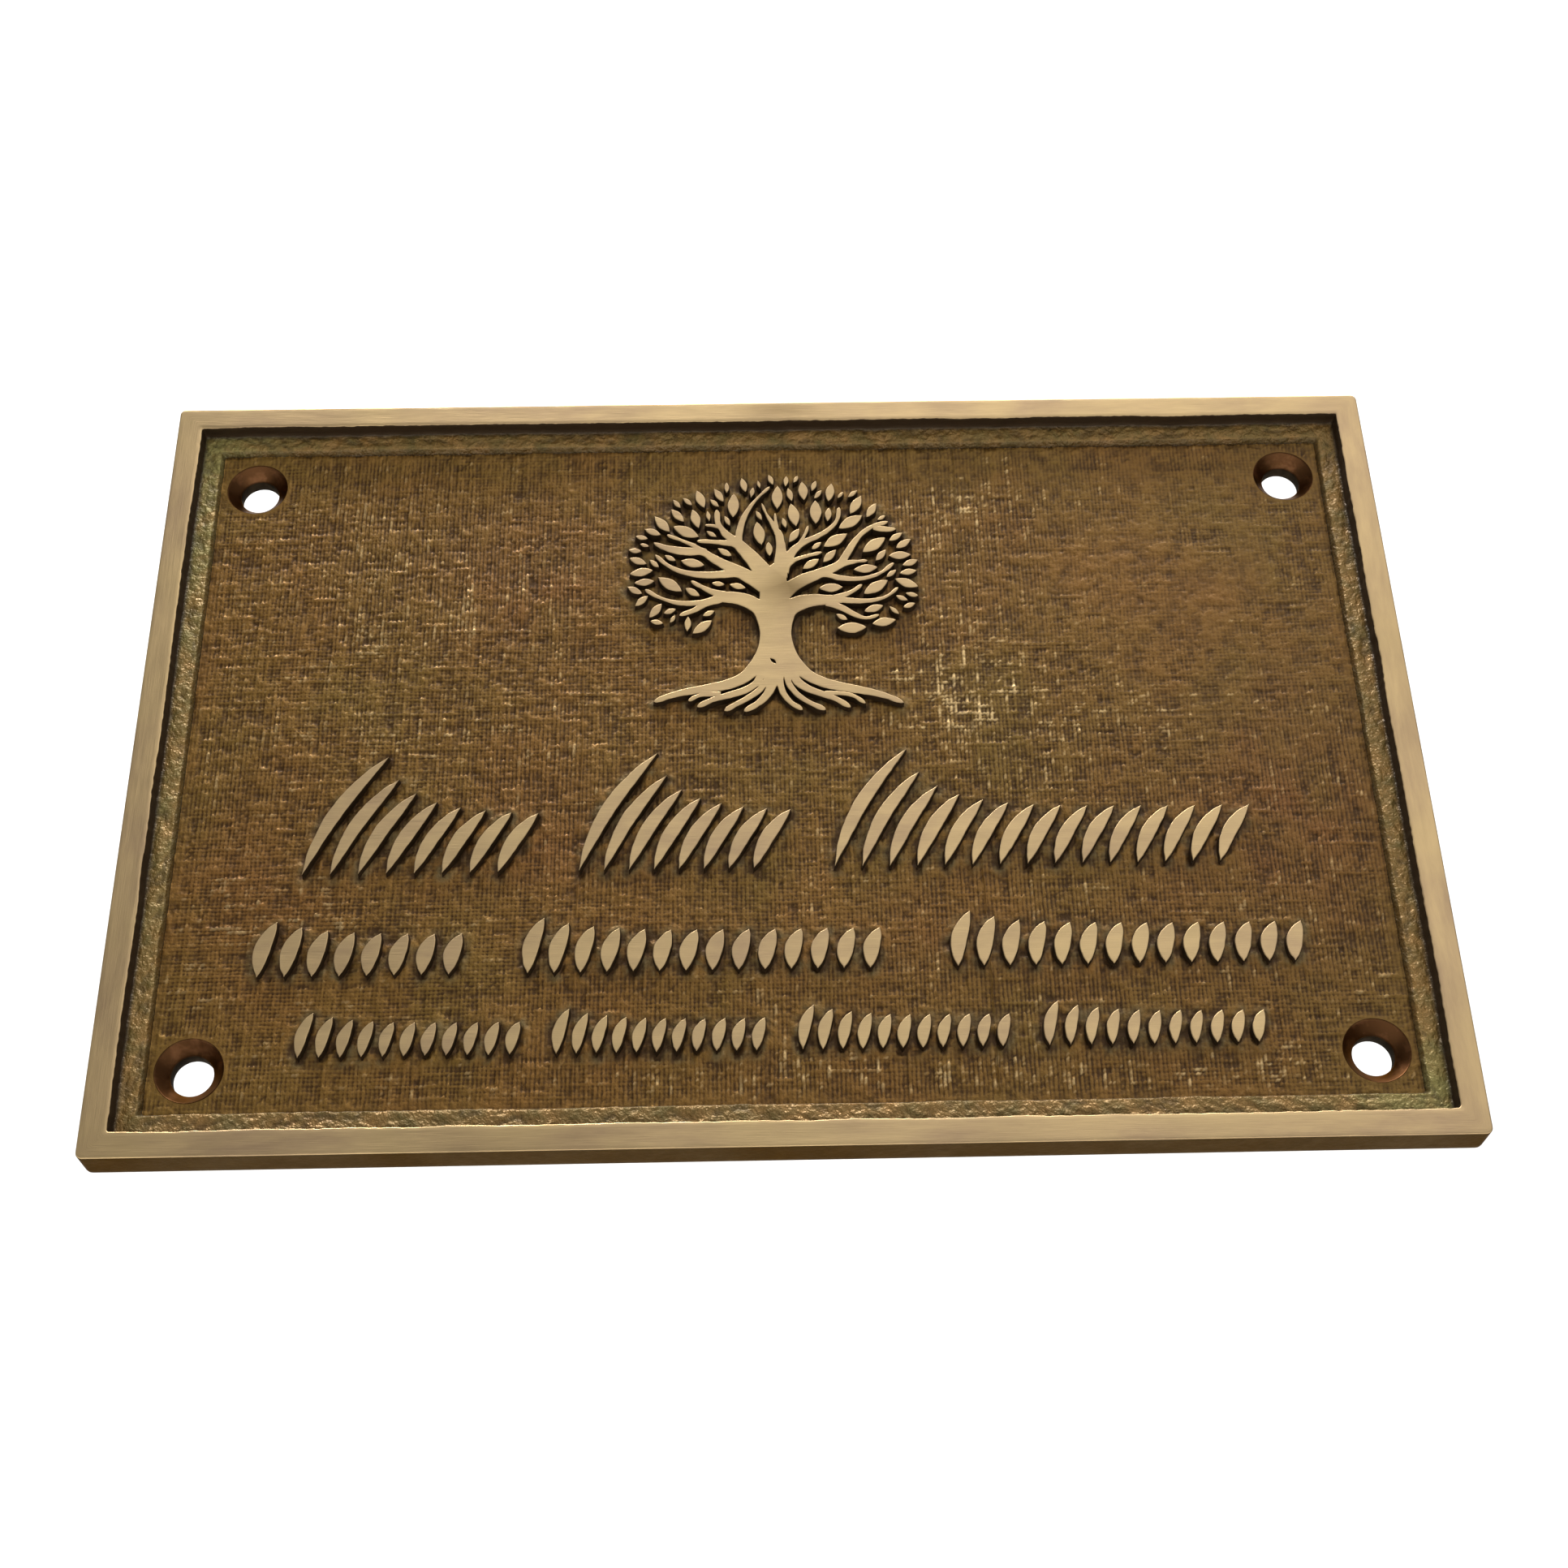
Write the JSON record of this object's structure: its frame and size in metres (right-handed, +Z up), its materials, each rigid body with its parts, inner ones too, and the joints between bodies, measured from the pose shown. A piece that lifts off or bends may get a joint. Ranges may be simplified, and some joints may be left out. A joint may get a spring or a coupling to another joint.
{
  "type": "commemorative plaque",
  "caption": "Cast bronze memorial plaque with a raised border, stepped ledge, woven-textured field, tree of life relief, stroke rows and countersunk screw holes.",
  "frame": {"origin": "middle of the flat back, where the plaque meets the wall or board", "axes": "+Z up as it hangs, -Y the way its face looks, +Y into the wall, +X to the viewer's right"},
  "size_m": [0.1524, 0.006, 0.1016],
  "materials": {
    "cast_bronze": "cast bronze with brushed high faces and a dark brown patina in the field"
  },
  "bodies": {
    "root": {"plaque_casting": "cast_bronze"}
  },
  "joints": []
}
